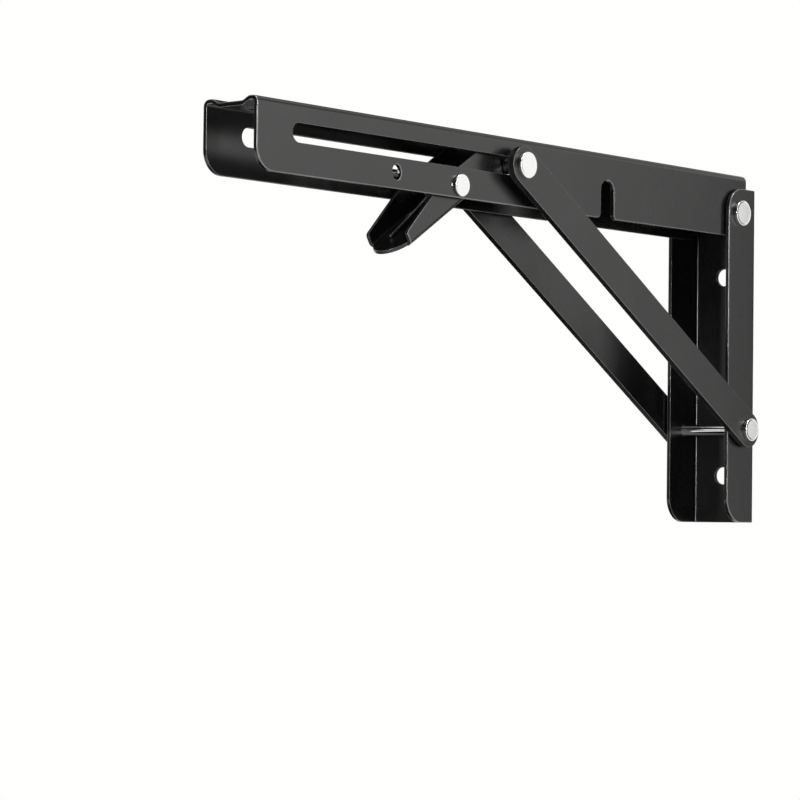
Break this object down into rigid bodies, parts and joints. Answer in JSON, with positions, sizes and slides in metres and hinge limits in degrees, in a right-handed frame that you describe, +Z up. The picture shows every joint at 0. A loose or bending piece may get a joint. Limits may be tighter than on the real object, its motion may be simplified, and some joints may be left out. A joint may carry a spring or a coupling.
{
  "type": "drop leaf table bracket",
  "caption": "Folding wall bracket for a drop leaf: channel arm on a wall plate, held up by a pair of brace legs whose pin slides in the arm and is latched by a sprung lever.",
  "frame": {"origin": "on the wall, midway between the two wall holes, in the bracket's middle plane", "axes": "+X from the wall along the arm, +Z up, +Y to the right side as seen when facing the wall"},
  "size_m": [0.3591, 0.0482, 0.17],
  "materials": {
    "black_coat": "black powder coat, satin",
    "bright_steel": "bright zinc plated",
    "spring_steel": "drawn spring wire"
  },
  "bodies": {
    "wall": {"wall_plate": "black_coat", "hinge_rivet": "bright_steel", "brace_rivet": "bright_steel"},
    "arm": {"support_arm": "black_coat", "lever_rivet": "bright_steel", "latch_spring": "spring_steel"},
    "slider": {"slide_pin_right": "bright_steel", "slide_pin_left": "bright_steel"},
    "lever": {"latch_lever": "black_coat"},
    "brace": {"brace_leg_right": "black_coat", "brace_leg_left": "black_coat", "slide_head_right": "bright_steel", "slide_head_left": "bright_steel"}
  },
  "joints": [
    {"name": "arm_fold", "type": "hinge", "parent": "wall", "child": "arm", "pos_m": [0.0142, 0, 0.0789], "axis": [0, 1, 0], "range_deg": [0, 90]},
    {"name": "pin_slide", "type": "slide", "parent": "arm", "child": "slider", "axis": [1, 0, 0], "range_m": [0, 0.1403]},
    {"name": "brace_swing", "type": "hinge", "parent": "wall", "child": "brace", "pos_m": [0.0114, 0, -0.0268], "axis": [0, 1, 0], "range_deg": [0, 119.52]},
    {"name": "lever_press", "type": "hinge", "parent": "arm", "child": "lever", "pos_m": [0.2285, 0, 0.073], "axis": [0, -1, 0], "range_deg": [0, 30], "stiffness_Nm_per_rad": 0.2, "springref_deg": -28.65, "deforming": ["latch_spring"]}
  ],
  "couplings": [
    {"joint": "pin_slide", "follows": "arm_fold", "m_per_rad": 0.089307},
    {"joint": "brace_swing", "follows": "arm_fold", "ratio": 1.3278}
  ]
}
